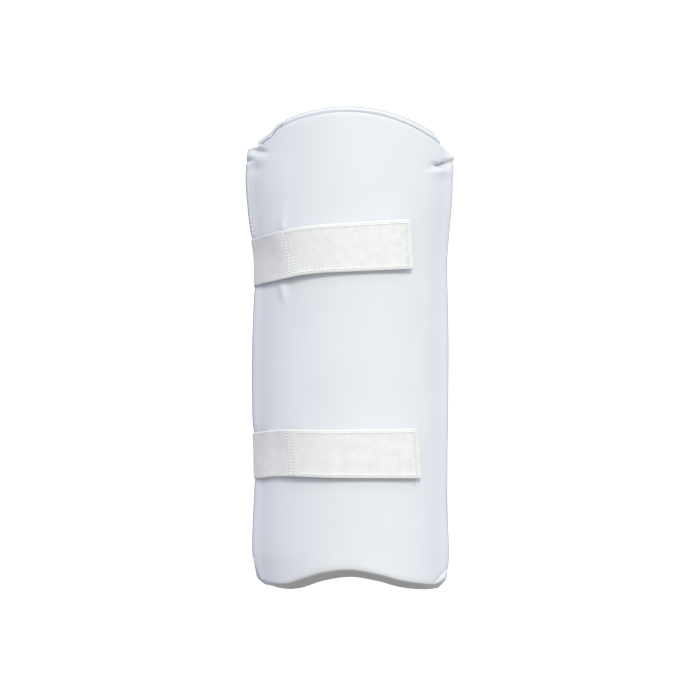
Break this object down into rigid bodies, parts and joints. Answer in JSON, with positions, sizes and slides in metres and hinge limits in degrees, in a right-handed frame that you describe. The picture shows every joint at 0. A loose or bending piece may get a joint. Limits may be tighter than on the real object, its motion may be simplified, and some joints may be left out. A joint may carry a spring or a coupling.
{
  "type": "cricket arm guard",
  "caption": "White curved foam forearm guard with a sewn cover, an arched elbow end, a scalloped wrist end and elastic straps fastened across its front.",
  "frame": {"origin": "on the surface it rests on, under the middle of the guard", "axes": "+Y along the forearm to the arched elbow end, +X to the long side where the straps are sewn on, +Z away from the arm, out of the padded front"},
  "size_m": [0.1138, 0.2631, 0.0444],
  "materials": {
    "cover": "smooth knitted, faint sheen",
    "lining_cloth": "matte",
    "elastic": "matte, ribbed",
    "hook_tape": "matte"
  },
  "bodies": {
    "root": {"padded_shell": "cover", "lining": "lining_cloth", "top_hem": "cover", "upper_strap": "elastic", "upper_hook_tape": "hook_tape", "lower_strap": "elastic", "lower_hook_tape": "hook_tape"}
  },
  "joints": []
}
